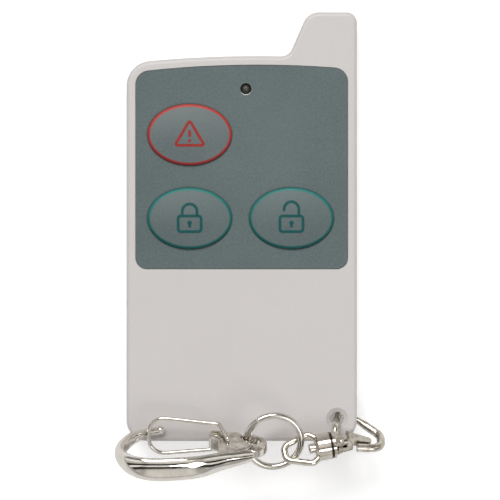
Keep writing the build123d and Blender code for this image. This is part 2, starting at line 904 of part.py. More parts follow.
# Swivel rivet: its shank ends in the collar and its head lies inside the eye
head_start = swivel_gap + eye_base_length + rivet_fit * 2
with BuildPart() as swivel_rivet:
    with BuildSketch(Plane(origin=collar_centre + swivel_axis * rivet_depth, z_dir=-swivel_axis)):
        Circle(rivet_radius)
    extrude(amount=rivet_depth + head_start)
    with BuildSketch(Plane(origin=collar_centre - swivel_axis * head_start, z_dir=-swivel_axis)):
        Circle(rivet_head_radius)
    extrude(amount=rivet_head_length)
    fillet(swivel_rivet.edges().sort_by(Axis(collar_centre, swivel_axis))[0], rivet_head_round)

# Jump ring
ring_up = Vector(0, cos(radians(ring_tilt)), sin(radians(ring_tilt)))
ring_right = Vector(1, 0, -swivel_slope_share)
ring_right = (ring_right - ring_up * ring_up.dot(ring_right)).normalized()
pass_point = collar_centre - swivel_axis * ring_pass
pass_turn = radians(ring_pass_angle)
ring_centre = pass_point - (ring_right * cos(pass_turn) + ring_up * sin(pass_turn)) * ring_radius
ring_plane = Plane(origin=ring_centre, x_dir=ring_right, z_dir=ring_right.cross(ring_up))
split_turn = ring_split / ring_radius / 2
split_start = radians(ring_split_angle) + split_turn
split_side = ring_right * cos(split_start) + ring_up * sin(split_start)
ring_sweep = 360 - degrees(split_turn) * 2
with BuildPart() as jump_ring:
    with BuildSketch(
        Plane(origin=ring_centre + split_side * ring_radius, z_dir=ring_plane.z_dir.cross(split_side))
    ):
        Circle(ring_wire_radius)
    revolve(axis=Axis(ring_centre, ring_plane.z_dir), revolution_arc=ring_sweep)

# Clip body, in the plane of its outline, with its eye's hole at the plane's origin
clip_normal = Vector(0, sin(radians(clip_tilt)), cos(radians(clip_tilt)))
clip_eye_centre = (
    ring_centre - ring_right * (ring_radius - clip_slack) - Vector(0, clip_drop, 0)
)
clip_plane = Plane(origin=clip_eye_centre, x_dir=(1, 0, 0), z_dir=clip_normal)


def clip_point(shares):
    """A point of the clip's outline, from shares of its length and width."""
    return (shares[0] * clip_length, shares[1] * clip_width)


def on_clip(shares, depth=0.0):
    """The same point in space, at a depth along the clip's normal."""
    return clip_plane.from_local_coords(Vector(*clip_point(shares), depth))


# Hub of the clip, which carries the gate
with BuildPart() as clip_hub:
    with BuildSketch(clip_plane.offset(-hub_half_depth)):
        with BuildLine():
            FilletPolyline(
                [clip_point(point) for point in hub_outline_shares], radius=hub_corner, close=True
            )
        make_face()
    extrude(amount=hub_half_depth * 2)
    hub_faces = clip_hub.faces().sort_by(Axis((0, 0, 0), clip_normal))
    fillet(hub_faces[0].edges() + hub_faces[-1].edges(), hub_round)

# Eye of the clip
with BuildPart() as clip_eye:
    with BuildSketch(clip_plane.offset(-clip_eye_half_depth)):
        with Locations((0, -clip_eye_drop)):
            Circle(clip_eye_radius)
        Ellipse(clip_eye_hole_length / 2, clip_eye_hole_width / 2, mode=Mode.SUBTRACT)
    extrude(amount=clip_eye_half_depth * 2)
    eye_faces = clip_eye.faces().sort_by(Axis((0, 0, 0), clip_normal))
    fillet(eye_faces[0].edges() + eye_faces[-1].edges(), clip_eye_round)

# Limb of the clip: round at its neck, and a deep oval along its back
with BuildPart() as clip_limb:
    with BuildLine(clip_plane) as limb_line:
        Spline([clip_point(point) for point in limb_shares])
    limb_edge = limb_line.edge()
    for point, depth_share in zip(limb_shares, limb_depth_shares):
        along = limb_edge % limb_edge.param_at_point(on_clip(point))
        with BuildSketch(Plane(origin=on_clip(point), x_dir=clip_normal, z_dir=along)):
            Ellipse(limb_half_width * depth_share, limb_half_width)
    sweep(path=limb_edge, multisection=True)

with BuildPart() as clip_body:
    add(clip_limb.part)
    limb_start = on_clip(limb_shares[0])
    neck_direction = on_clip(neck_shares) - limb_start
    with Locations(Location(limb_start)):
        Sphere(limb_half_width)
    with BuildSketch(Plane(origin=limb_start, z_dir=neck_direction)):
        Circle(limb_half_width)
    with BuildSketch(Plane(origin=on_clip(neck_shares), z_dir=neck_direction)):
        Circle(neck_radius)
    loft()
    nose_direction = on_clip(nose_shares) - on_clip(neck_shares)
    with BuildSketch(Plane(origin=on_clip(neck_shares), z_dir=nose_direction)):
        Circle(neck_radius)
    extrude(amount=nose_direction.length)
    with Locations(Location(on_clip(neck_shares))):
        Sphere(neck_radius)
    with Locations(Location(on_clip(nose_shares))):
        Sphere(nose_radius)
    add(clip_hub.part)
    add(clip_eye.part)
    # the eye's hole again, where the hub and the limb run into it
    with BuildSketch(clip_plane.offset(-clip_width / 2)):
        Ellipse(clip_eye_hole_length / 2, clip_eye_hole_width / 2)
    extrude(amount=clip_width, mode=Mode.SUBTRACT)
    # blind holes for the gate's ends
    for depth, direction in ((hub_half_depth, -1), (-hub_half_depth, 1)):
        with BuildSketch(clip_plane.offset(depth)):
            with Locations(clip_point(gate_pivot_shares)):
                Circle(gate_wire_radius + gate_fit)
        extrude(amount=direction * (gate_hole_depth + gate_fit), mode=Mode.SUBTRACT)

# Wire gate
gate_pivot = clip_point(gate_pivot_shares)
gate_points = [
    (*gate_pivot, hub_half_depth - gate_hole_depth),
    (*gate_pivot, gate_crank),
    (*clip_point(gate_root_shares), gate_root_half_width),
    (*clip_point(gate_end_shares), gate_half_width),
]
gate_points += [(u, v, -n) for u, v, n in reversed(gate_points)]
with BuildPart() as clip_gate:
    with BuildLine(clip_plane) as gate_line:
        FilletPolyline(
            gate_points,
            radius=[gate_foot_bend, gate_shoulder_bend, gate_bend]
            + [gate_bend, gate_shoulder_bend, gate_foot_bend],
        )
    with BuildSketch(Plane(origin=gate_line.line @ 0, z_dir=gate_line.line % 0)):
        Circle(gate_wire_radius)
    sweep()

pieces = {
    "front_shell": front_shell,
    "rear_shell": rear_shell,
    "case_screws": case_screws,
    "keypad_overlay": keypad_overlay,
    "indicator_lamp": indicator_lamp,
    "circuit_board": circuit_board,
    "encoder_chip": encoder_chip,
    "saw_resonator": saw_resonator,
    "rf_transistor": rf_transistor,
    "antenna_loop": antenna_loop,
    "coin_cell": coin_cell,
    "cell_clip": cell_clip,
    "cell_contact": cell_contact,
    "hook_body": hook_body,
    "hook_lever": hook_lever,
    "hook_lever_pin": hook_lever_pin,
    "hook_lever_spring": hook_lever_spring,
    "swivel_eye": swivel_eye,
    "swivel_rivet": swivel_rivet,
    "jump_ring": jump_ring,
    "clip_body": clip_body,
    "clip_gate": clip_gate,
    **key_parts,
}
for name, piece in pieces.items():
    piece.part.label = name
    export_step(piece.part, f"parts/{name}.step")
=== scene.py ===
"""The alarm key fob on a white table, seen from straight above its face.

The model's own objects are dressed in procedural materials. The script adds only thin
pieces that ride on them: the signs printed on the keys, a light lip that paints a
highlight on the lower side of the lamp's hole, and the film that closes the slit round
each key. Lengths are in millimetres, and mm turns them into Blender's metres.
"""

import json
from math import cos, radians, sin, sqrt

import bmesh
import bpy
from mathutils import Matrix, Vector


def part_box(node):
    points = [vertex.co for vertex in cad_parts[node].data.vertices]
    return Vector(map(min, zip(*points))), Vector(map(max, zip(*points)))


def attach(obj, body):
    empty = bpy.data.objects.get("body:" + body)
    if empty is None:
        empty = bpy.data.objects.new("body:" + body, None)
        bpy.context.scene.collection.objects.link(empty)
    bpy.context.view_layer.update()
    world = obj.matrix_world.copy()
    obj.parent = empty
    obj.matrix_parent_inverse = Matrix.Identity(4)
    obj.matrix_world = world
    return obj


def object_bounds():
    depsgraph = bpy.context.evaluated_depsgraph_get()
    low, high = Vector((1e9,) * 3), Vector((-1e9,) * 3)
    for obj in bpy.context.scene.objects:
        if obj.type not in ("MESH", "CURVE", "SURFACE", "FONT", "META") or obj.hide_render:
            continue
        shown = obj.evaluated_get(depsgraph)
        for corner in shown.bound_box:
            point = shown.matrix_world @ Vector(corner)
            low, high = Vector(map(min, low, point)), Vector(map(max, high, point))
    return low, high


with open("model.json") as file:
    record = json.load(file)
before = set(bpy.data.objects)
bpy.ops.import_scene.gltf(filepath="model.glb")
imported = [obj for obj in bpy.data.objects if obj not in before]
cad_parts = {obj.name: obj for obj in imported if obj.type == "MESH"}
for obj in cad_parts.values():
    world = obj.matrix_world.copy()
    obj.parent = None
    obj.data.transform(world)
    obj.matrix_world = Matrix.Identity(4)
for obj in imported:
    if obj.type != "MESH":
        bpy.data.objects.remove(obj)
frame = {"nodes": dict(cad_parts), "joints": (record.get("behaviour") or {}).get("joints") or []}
cad_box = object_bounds()
mm = 0.001


def middle_of(node):
    """The middle of a node's box, as (x, y)."""
    low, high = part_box(node)
    return tuple((low + high).xy / 2 / mm)


def top_of(node):
    """The height of a node's highest point."""
    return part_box(node)[1].z / mm


# The case, whose heights and places come from the frame
face_z = top_of("front_shell")
overlay_top_z = top_of("keypad_overlay")
lamp_place = middle_of("indicator_lamp")
lamp_hole_radius = 1.2

# The keys, each centred over its plunger
key_places = {name: middle_of(f"{name}_plunger") for name in ("panic", "arm", "disarm")}
key_half_length = 9.2
key_half_width = 6.67
key_rise = 1.15
key_crown_radius = 52.0
key_clearance = 0.15


def srgb(red, green, blue):
    """A colour as the shaders take it, from channels of 0 to 255."""
    channels = []
    for value in (red, green, blue):
        share = value / 255
        channels.append(share / 12.92 if share <= 0.04045 else ((share + 0.055) / 1.055) ** 2.4)
    return (*channels, 1.0)


class Nodes:
    """A tree of shader nodes, and short ways to add to it."""

    def __init__(self, tree, coordinates):
        self.tree = tree
        self.place = self.node("ShaderNodeTexCoord").outputs[coordinates]

    def node(self, kind, **settings):
        new = self.tree.nodes.new(kind)
        for key, value in settings.items():
            setattr(new, key, value)
        return new

    def link(self, source, target):
        self.tree.links.new(source, target)

    def feed(self, value, target):
        """Gives a socket a value, which is another node's output or a constant."""
        if isinstance(value, bpy.types.NodeSocket):
            self.link(value, target)
        else:
            target.default_value = value

    def maths(self, operation, first, second=0.0):
        """A sum on two values."""
        step = self.node("ShaderNodeMath", operation=operation)
        self.feed(first, step.inputs[0])
        self.feed(second, step.inputs[1])
        return step.outputs["Value"]

    def vector_maths(self, operation, first, second=(0, 0, 0), output="Vector"):
        """A sum on two vectors, whose result is a vector or, as the output Value, a number."""
        step = self.node("ShaderNodeVectorMath", operation=operation)
        self.feed(first, step.inputs[0])
        self.feed(second, step.inputs[1])
        return step.outputs[output]

    def axes(self, vector):
        """A vector's parts, by the names X, Y and Z."""
        parts = self.node("ShaderNodeSeparateXYZ")
        self.link(vector, parts.inputs["Vector"])
        return parts.outputs

    def levels(self, factor, low, high, start=0.0, end=1.0):
        """A value that runs from low to high while the factor runs from start to end."""
        span = self.node("ShaderNodeMapRange")
        span.inputs["From Min"].default_value = start
        span.inputs["From Max"].default_value = end
        span.inputs["To Min"].default_value = low
        span.inputs["To Max"].default_value = high
        self.link(factor, span.inputs["Value"])
        return span.outputs["Result"]

    def swing(self, factor, width):
        """A factor of 0 to 1 made to swing about zero, over a width."""
        return self.maths("MULTIPLY", self.maths("SUBTRACT", factor, 0.5), width)

    def tones(self, factor, *stops):
        """A colour ramp over a factor, from (position, colour) stops."""
        ramp = self.node("ShaderNodeValToRGB")
        elements = ramp.color_ramp.elements
        while len(elements) < len(stops):
            elements.new(0.5)
        for element, (position, colour) in zip(elements, stops):
            element.position = position
            element.color = colour
        self.link(factor, ramp.inputs["Fac"])
        return ramp.outputs["Color"]

    def blend(self, factor, first, second, kind="MIX"):
        """The first colour, with the second over it where the factor is one."""
        mix = self.node("ShaderNodeMix", data_type="RGBA", blend_type=kind)
        self.feed(factor, mix.inputs["Factor"])
        sockets = [socket for socket in mix.inputs if socket.type == "RGBA"]
        for value, socket in zip((first, second), sockets):
            self.feed(value, socket)
        return [socket for socket in mix.outputs if socket.type == "RGBA"][0]


class Finish(Nodes):
    """A Principled material, and short ways to vary its colour, gloss and surface."""

    def __init__(self, name):
        self.material = bpy.data.materials.new(name)
        self.material.use_nodes = True
        super().__init__(self.material.node_tree, "Object")
        self.shader = self.tree.nodes["Principled BSDF"]

    def set(self, **values):
        """Sets the shader's own sockets, such as Specular_IOR_Level."""
        for key, value in values.items():
            self.shader.inputs[key.replace("_", " ")].default_value = value

    def noise(self, size, detail=3.0, roughness=0.5, stretch=None):
        """Noise whose blotches are about a size across."""
        texture = self.node("ShaderNodeTexNoise")
        texture.inputs["Scale"].default_value = 1 / (size * mm)
        texture.inputs["Detail"].default_value = detail
        texture.inputs["Roughness"].default_value = roughness
        place = self.place
        if stretch is not None:
            scaled = self.node("ShaderNodeMapping")
            scaled.inputs["Scale"].default_value = stretch
            self.link(place, scaled.inputs["Vector"])
            place = scaled.outputs["Vector"]
        self.link(place, texture.inputs["Vector"])
        return texture.outputs["Fac"]

    def colour(self, source):
        self.link(source, self.shader.inputs["Base Color"])

    def roughness(self, source):
        self.link(source, self.shader.inputs["Roughness"])

    def bumps(self, *layers):
        """Bumps of (height factor, height), one over the other."""
        normal = None
        for factor, height in layers:
            bump = self.node("ShaderNodeBump")
            bump.inputs["Strength"].default_value = 1.0
            bump.inputs["Distance"].default_value = height * mm
            self.link(factor, bump.inputs["Height"])
            if normal is not None:
                self.link(normal, bump.inputs["Normal"])
            normal = bump.outputs["Normal"]
        self.link(normal, self.shader.inputs["Normal"])


def moulded_plastic(name, colour, shade, roughness=0.42, grain=0.012, speckle=1.2, gloss=0.5):
    """Satin moulded plastic: flow clouds, a fine speckle, a spark texture and handling marks."""
    cloud_size, speck_size, smudge_size = 22.0, 0.42, 7.0
    spark_size = 0.28
    sink_size, sink_depth = 9.0, 0.03
    finish = Finish(name)
    clouds = finish.noise(cloud_size)
    specks = finish.swing(finish.noise(speck_size, detail=4.0, roughness=0.6), speckle)
    finish.colour(finish.tones(finish.maths("ADD", clouds, specks), (0.2, shade), (0.8, colour)))
    smudges = finish.noise(smudge_size, detail=5.0, roughness=0.6)
    smooth, worn = roughness - 0.06, roughness + 0.08
    finish.roughness(finish.levels(smudges, smooth, worn, start=0.3, end=0.7))
    finish.set(Specular_IOR_Level=gloss)
    spark = finish.noise(spark_size, detail=2.0)
    sinks = finish.noise(sink_size, detail=2.0)
    finish.bumps((spark, grain), (sinks, sink_depth))
    return finish


def plated(name, colour, shade, roughness, lumps, lump_size, tarnish=None, corner=None, seam=None):
    """Bright plating over a cast or drawn metal: soft waves, smears and fine scratches.

    Tarnish is a darker tone in blotches. With a corner, as (x, y), it lies only right of and
    above that place, where it is painted shade as well as tarnish. A seam, as (point in
    metres, axis), is a dark line of painted shade round the axis at that point.
    """
    smear_size, blotch_size, scratch_size = 2.6, 1.9, 0.35
    corner_fade = 0.3
    seam_dark, seam_edge = 0.22, 0.36
    scratch_depth = 0.0025
    finish = Finish(name)
    smears = finish.noise(smear_size, detail=5.0, roughness=0.6)
    tone = finish.tones(smears, (0.32, shade), (0.66, colour))
    if tarnish is not None:
        blotches = finish.noise(blotch_size, detail=4.0, roughness=0.65)
        blotches = finish.levels(blotches, 1.0, 0.0, start=0.40, end=0.58)
        if corner is not None:
            # held to a corner, the dark blotches are painted shade as well as tarnish
            axes = finish.axes(finish.place)
            for axis, edge in zip("XY", corner):
                start, end = (edge - corner_fade) * mm, (edge + corner_fade) * mm
                inside = finish.levels(axes[axis], 0.0, 1.0, start, end)
                blotches = finish.maths("MULTIPLY", blotches, inside)
        tone = finish.blend(blotches, tone, tarnish)
    # a seam is painted shade: a dark line where one part turns against the next
    if seam is not None:
        point, axis = seam
        offset = finish.vector_maths("SUBTRACT", finish.place, point)
        along = finish.vector_maths("DOT_PRODUCT", offset, axis, output="Value")
        gap = finish.maths("ABSOLUTE", along)
        seam_shade = finish.levels(gap, 1.0, 0.0, seam_dark * mm, seam_edge * mm)
        tone = finish.blend(seam_shade, tone, srgb(52, 46, 40))
    finish.colour(tone)
    finish.set(Metallic=1.0)
    scratches = finish.noise(scratch_size, detail=4.0, roughness=0.7, stretch=(1.0, 0.12, 0.3))
    smooth, worn = roughness * 0.55, roughness * 1.6
    finish.roughness(finish.levels(scratches, smooth, worn, start=0.3, end=0.75))
    finish.bumps((finish.noise(lump_size, detail=2.0), lumps), (scratches, scratch_depth))
    return finish


white_case = moulded_plastic("white_case", srgb(203, 199, 197), srgb(199, 195, 193))
slate_overlay = moulded_plastic(
    "slate_overlay", srgb(96, 109, 109), srgb(82, 95, 96),
    roughness=0.5, grain=0.016, speckle=1.6, gloss=0.32,
)
skirt_film = moulded_plastic(
    "skirt_film", srgb(84, 97, 98), srgb(70, 83, 84),
    roughness=0.5, grain=0.01, speckle=1.6, gloss=0.3,
)
# a light plastic for the painted highlight on the lower side of the lamp's hole
painted_highlight_plastic = moulded_plastic("painted_highlight_plastic", srgb(214, 216, 216), srgb(196, 200, 200), roughness=0.3)

# The dark line of painted shade between the hook and the swivel lies where the swivel turns
swivel = next(joint for joint in frame["joints"] if joint["name"] == "swivel_turn")
swivel_seam = (swivel["pos_m"], swivel["axis"])
# The clip's hub, at the right end of the clip, is darker than its limb in blotches: tarnish, and
# painted shade in place of the darker reflection its facet shows
hub_tarnish_and_shade_corner = (-7.4, -44.0)

cast_nickel = plated(
    "cast_nickel", srgb(232, 228, 221), srgb(216, 211, 202),
    roughness=0.06, lumps=0.02, lump_size=3.2, tarnish=srgb(176, 168, 157), corner=hub_tarnish_and_shade_corner,
)
hook_nickel = plated(
    "hook_nickel", srgb(228, 223, 214), srgb(208, 202, 191),
    roughness=0.10, lumps=0.03, lump_size=2.4, tarnish=srgb(176, 166, 152), seam=swivel_seam,
)
lever_nickel = plated(
    "lever_nickel", srgb(208, 202, 192), srgb(182, 174, 162),
    roughness=0.09, lumps=0.05, lump_size=1.3, tarnish=srgb(152, 143, 131),
)
turned_nickel = plated(
    "turned_nickel", srgb(220, 214, 204), srgb(196, 189, 177),
    roughness=0.10, lumps=0.02, lump_size=1.6,
)
swivel_nickel = plated(
    "swivel_nickel", srgb(216, 210, 200), srgb(192, 185, 173),
    roughness=0.10, lumps=0.02, lump_size=1.6, seam=swivel_seam,
)
drawn_wire = plated(
    "drawn_wire", srgb(216, 212, 205), srgb(194, 189, 180),
    roughness=0.06, lumps=0.02, lump_size=2.4,
)


def key_finish(name, place, rim, rim_painted_shade, top, top_shade, top_painted_light):
    """A key's slate film, with its coloured rim printed down the sloping edge.

    The rim and the film are painted lighter towards the key's upper side and darker towards its
    lower side: painted light and shade, as if lit from above the keys.
    """
    rim_width, rim_end, rim_wobble = 0.50, 0.72, 0.12
    wobble_size, blotch_size, blotch_strength = 0.5, 1.4, 0.5
    finish = moulded_plastic(
        f"{name}_key", top, top_shade, roughness=0.46, grain=0.014, speckle=1.6, gloss=0.32
    )
    plain_film = finish.shader.inputs["Base Color"].links[0].from_socket
    centre = (place[0] * mm, place[1] * mm, 0)
    offset = finish.vector_maths("SUBTRACT", finish.place, centre)

    def length_in_ovals(power):
        """The length of the offset, its parts over the oval's half sizes to a power."""
        scale = [1 / (half * mm) ** power for half in (key_half_length, key_half_width)]
        scaled = finish.vector_maths("MULTIPLY", offset, (*scale, 0))
        return finish.vector_maths("LENGTH", scaled, output="Value")

    # the distance in from the edge of the oval, near enough for a narrow rim
    share, slope = length_in_ovals(1), length_in_ovals(2)
    inwards = finish.maths("MULTIPLY", share, finish.maths("SUBTRACT", 1.0, share))
    depth = finish.maths("DIVIDE", inwards, slope)
    edge = finish.maths("ADD", depth, finish.swing(finish.noise(wobble_size), rim_wobble * mm))
    printed = finish.levels(edge, 1.0, 0.0, rim_width * mm, rim_end * mm)
    # painted light: the rim runs from painted shade on the key's lower side to its lit tone on the
    # upper side, and the film takes a painted highlight towards the upper side
    reach = key_half_width * mm
    height = finish.levels(finish.axes(offset)["Y"], 0.0, 1.0, -reach, reach)
    blotches = finish.swing(finish.noise(blotch_size, detail=4.0), blotch_strength)
    rim_ink_and_painted_light = finish.tones(finish.maths("ADD", height, blotches), (0.15, rim_painted_shade), (0.95, rim))
    painted_light_share = finish.levels(height, 0.0, 0.6, start=0.35, end=1.0)
    film = finish.blend(painted_light_share, plain_film, top_painted_light)
    finish.colour(finish.blend(printed, film, rim_ink_and_painted_light))
    return finish


# each rim's lit tone, and the painted shade it takes on the key's lower side
red_rim = {"rim": srgb(176, 66, 60), "rim_painted_shade": srgb(140, 38, 38)}
green_rim = {"rim": srgb(40, 120, 114), "rim_painted_shade": srgb(2, 80, 78)}
key_looks = {
    "panic": {
        **red_rim,
        "top": srgb(101, 111, 111),
        "top_shade": srgb(89, 99, 100),
        "top_painted_light": srgb(116, 125, 125),
    },
    "arm": {
        **green_rim,
        "top": srgb(96, 108, 109),
        "top_shade": srgb(84, 96, 97),
        "top_painted_light": srgb(109, 121, 122),
    },
    "disarm": {
        **green_rim,
        "top": srgb(95, 107, 108),
        "top_shade": srgb(83, 95, 96),
        "top_painted_light": srgb(106, 119, 120),
    },
}


def part_finish(name, colour, shade, roughness, metallic=0.0, size=2.0):
    """A finish for a piece inside the case: two tones, uneven gloss and a fine grain."""
    gloss_size, grain_size, grain_depth = size / 3, size / 8, 0.006
    smooth, worn = roughness - 0.06, roughness + 0.1
    finish = Finish(name)
    finish.colour(finish.tones(finish.noise(size, detail=4.0), (0.35, shade), (0.65, colour)))
    finish.set(Metallic=metallic)
    finish.roughness(finish.levels(finish.noise(gloss_size), smooth, worn))
    finish.bumps((finish.noise(grain_size, detail=2.0), grain_depth))
    return finish


def metal_finish(name, colour, shade, roughness, size=2.0):
    """A finish for a metal piece inside the case."""
    return part_finish(name, colour, shade, roughness, metallic=1.0, size=size)


def lens_finish(name, colour, shade):
    """The lamp's smoky lens, a little uneven in tone and gloss."""
    tone_size, gloss_size, ripple_size, ripple_depth = 0.8, 0.4, 0.3, 0.002
    finish = Finish(name)
    finish.colour(finish.tones(finish.noise(tone_size), (0.3, shade), (0.7, colour)))
    finish.roughness(finish.levels(finish.noise(gloss_size), 0.32, 0.5))
    finish.set(Coat_Weight=0.1, IOR=1.5)
    finish.bumps((finish.noise(ripple_size), ripple_depth))
    return finish


switch_case = part_finish("switch_shell", srgb(48, 48, 50), srgb(38, 38, 40), 0.45, size=1.2)
switch_stem = part_finish("switch_stem", srgb(196, 190, 176), srgb(184, 178, 162), 0.4, size=1.0)

looks = {
    "front_shell": white_case,
    "rear_shell": white_case,
    "keypad_overlay": slate_overlay,
    "indicator_lamp": lens_finish("lamp_lens", srgb(66, 66, 60), srgb(58, 58, 52)),
    "circuit_board": part_finish(
        "board_mask", srgb(34, 92, 58), srgb(26, 78, 48), roughness=0.38, size=3.0
    ),
    "encoder_chip": part_finish(
        "chip_epoxy", srgb(44, 44, 46), srgb(34, 34, 36), roughness=0.55, size=0.8
    ),
    "saw_resonator": metal_finish(
        "can_nickel", srgb(200, 196, 186), srgb(184, 178, 168), roughness=0.24
    ),
    "rf_transistor": part_finish(
        "transistor_epoxy", srgb(40, 40, 42), srgb(30, 30, 32), roughness=0.5
    ),
    "antenna_loop": metal_finish(
        "copper_wire", srgb(200, 126, 84), srgb(176, 104, 66), roughness=0.26
    ),
    "coin_cell": metal_finish(
        "cell_steel", srgb(206, 206, 204), srgb(188, 188, 186), roughness=0.22, size=4.0
    ),
    "cell_clip": metal_finish(
        "clip_spring_steel", srgb(190, 188, 182), srgb(172, 170, 162), roughness=0.3
    ),
    "cell_contact": metal_finish(
        "contact_steel", srgb(194, 190, 180), srgb(174, 170, 158), roughness=0.3
    ),
    "case_screws": metal_finish(
        "screw_zinc", srgb(180, 182, 186), srgb(156, 158, 162), roughness=0.3, size=1.2
    ),
    "clip_body": cast_nickel,
    "hook_lever": lever_nickel,
    "hook_body": hook_nickel,
    "swivel_eye": swivel_nickel,
    "swivel_rivet": turned_nickel,
    "hook_lever_pin": turned_nickel,
    "hook_lever_spring": turned_nickel,
    "jump_ring": drawn_wire,
    "clip_gate": drawn_wire,
}
for name, look in key_looks.items():
    looks[f"{name}_button"] = key_finish(name, key_places[name], **look)
    looks[f"{name}_switch"] = switch_case
    looks[f"{name}_plunger"] = switch_stem

for node, finish in looks.items():
    for slot in frame["nodes"][node].material_slots:
        slot.material = finish.material


# Shared ways to make the added pieces


def arc(centre, radius, start, end, count=18):
    """Points along an arc, in degrees from the right."""
    turns = [radians(start + (end - start) * i / count) for i in range(count + 1)]
    return [(centre[0] + radius * cos(t), centre[1] + radius * sin(t)) for t in turns]


def strip(shape, rows, around=False):
    """Faces between the neighbours in a list of rows of vertices.

    With around, each row is a ring whose last vertex joins its first.
    """
    count = len(rows[0])
    for first, second in zip(rows, rows[1:]):
        for k in range(count if around else count - 1):
            m = (k + 1) % count
            shape.faces.new((first[k], first[m], second[m], second[k]))


def new_object(name, shape, finish):
    """An object from a finished shape."""
    mesh = bpy.data.meshes.new(name)
    shape.to_mesh(mesh)
    shape.free()
    mesh.materials.append(finish.material)
    piece = bpy.data.objects.new(name, mesh)
    bpy.context.collection.objects.link(piece)
    return piece


def new_piece(name, shape, finish, body, thickness=0.0):
    """An added piece, which rides on a body. An open sheet is given a thickness."""
    bmesh.ops.recalc_face_normals(shape, faces=shape.faces)
    piece = new_object(name, shape, finish)
    if thickness:
        thick = piece.modifiers.new("thick", "SOLIDIFY")
        thick.thickness = thickness * mm
    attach(piece, body)


# Signs on the keys

stroke = 0.62
ink_rise = 0.02
ink_depth = 0.05


def rounded(corners, radius, count=8):
    """A closed run of straight lines with its corners rounded."""
    points = []
    for i, corner in enumerate(corners):
        here = Vector(corner)
        before = (Vector(corners[i - 1]) - here).normalized() * radius
        after = (Vector(corners[(i + 1) % len(corners)]) - here).normalized() * radius
        for k in range(count + 1):
            t = k / count
            points.append(tuple(here + before * (1 - t) ** 2 + after * t**2))
    return points


def divided(points, closed, step=0.25):
    """The same run with points no further apart than about a step."""
    run = []
    ends = points[1:] + ([points[0]] if closed else [])
    for first, second in zip(points, ends):
        a, b = Vector(first), Vector(second)
        count = max(1, round((b - a).length / step))
        run += [tuple(a.lerp(b, k / count)) for k in range(count)]
    if not closed:
        run.append(points[-1])
    return run


def printed_sign(key, runs, dot, finish):
    """A sign on a key's crown, from runs of (points, closed) and a (place, radius) dot."""
    shape = bmesh.new()
    centre = Vector(key_places[key])
    crown_centre_z = face_z + key_rise - key_crown_radius

    def on_crown(x, y, sink=0.0):
        z = crown_centre_z + sqrt(key_crown_radius**2 - x * x - y * y) + ink_rise - sink
        return shape.verts.new(Vector((centre.x + x, centre.y + y, z)) * mm)

    for points, closed in runs:
        points = divided(points, closed)
        last = len(points) - 1
        rows = []
        for i, point in enumerate(points):
            before = Vector(points[i - 1 if closed or i else 0])
            after = Vector(points[(i + 1) % len(points) if closed else min(i + 1, last)])
            along = (after - before).normalized()
            side = Vector((-along.y, along.x)) * stroke / 2
            left, right = Vector(point) + side, Vector(point) - side
            rows.append([
                on_crown(*left), on_crown(*right),
                on_crown(*right, ink_depth), on_crown(*left, ink_depth),
            ])
        strip(shape, rows + rows[:1] if closed else rows, around=True)
        if not closed:
            shape.faces.new(rows[0])
            shape.faces.new(rows[-1])

    place, radius = dot
    rim = arc(place, radius, 0, 360, 20)[:-1]
    rings = [[on_crown(x, y, sink) for x, y in rim] for sink in (0.0, ink_depth)]
    strip(shape, rings, around=True)
    for ring in rings:
        shape.faces.new(ring)
    new_piece(f"{key}_sign", shape, finish, f"{key}_key")


def ink(name, colour, shade):
    """Screen ink: a little uneven in tone and gloss."""
    tone_size, gloss_size, grain_size, grain = 0.6, 0.3, 0.12, 0.004
    finish = Finish(name)
    tone = finish.noise(tone_size, detail=4.0, roughness=0.6)
    finish.colour(finish.tones(tone, (0.3, shade), (0.7, colour)))
    finish.roughness(finish.levels(finish.noise(gloss_size), 0.45, 0.6))
    finish.set(Specular_IOR_Level=0.25)
    finish.bumps((finish.noise(grain_size), grain))
    return finish


red_ink = ink("red_ink", srgb(156, 50, 44), srgb(136, 40, 36))
green_ink = ink("green_ink", srgb(6, 82, 80), srgb(2, 70, 70))
sign_round = 0.7

# A warning triangle with its exclamation mark
triangle = rounded([(-3.2, -2.3), (3.2, -2.3), (0, 3.1)], sign_round)
mark_bar = [(0, 1.0), (0, -0.5)]
mark_dot = ((0, -1.3), 0.36)
printed_sign("panic", [(triangle, True), (mark_bar, False)], mark_dot, red_ink)

# A padlock with its keyhole, closed on one key and open on the other
lock_case = rounded([(-2.5, -2.9), (2.5, -2.9), (2.5, 0.5), (-2.5, 0.5)], sign_round)
lock_slot = [(0, -1.2), (0, -2.0)]
lock_dot = ((0, -1.0), 0.5)
shackle_radius, shackle_foot_y = 1.6, 0.5


def shackle(bend_y, free_end_y):
    """A padlock's bow, from its foot over the bend to its free end."""
    bow = arc((0, bend_y), shackle_radius, 0, 180)
    return [(shackle_radius, shackle_foot_y), *bow, (-shackle_radius, free_end_y)]


closed_loop = shackle(bend_y=1.5, free_end_y=shackle_foot_y)
open_loop = shackle(bend_y=2.0, free_end_y=1.55)
for key, loop in (("arm", closed_loop), ("disarm", open_loop)):
    runs = [(lock_case, True), (loop, False), (lock_slot, False)]
    printed_sign(key, runs, lock_dot, green_ink)


# The lamp hole's bright lip, a painted highlight


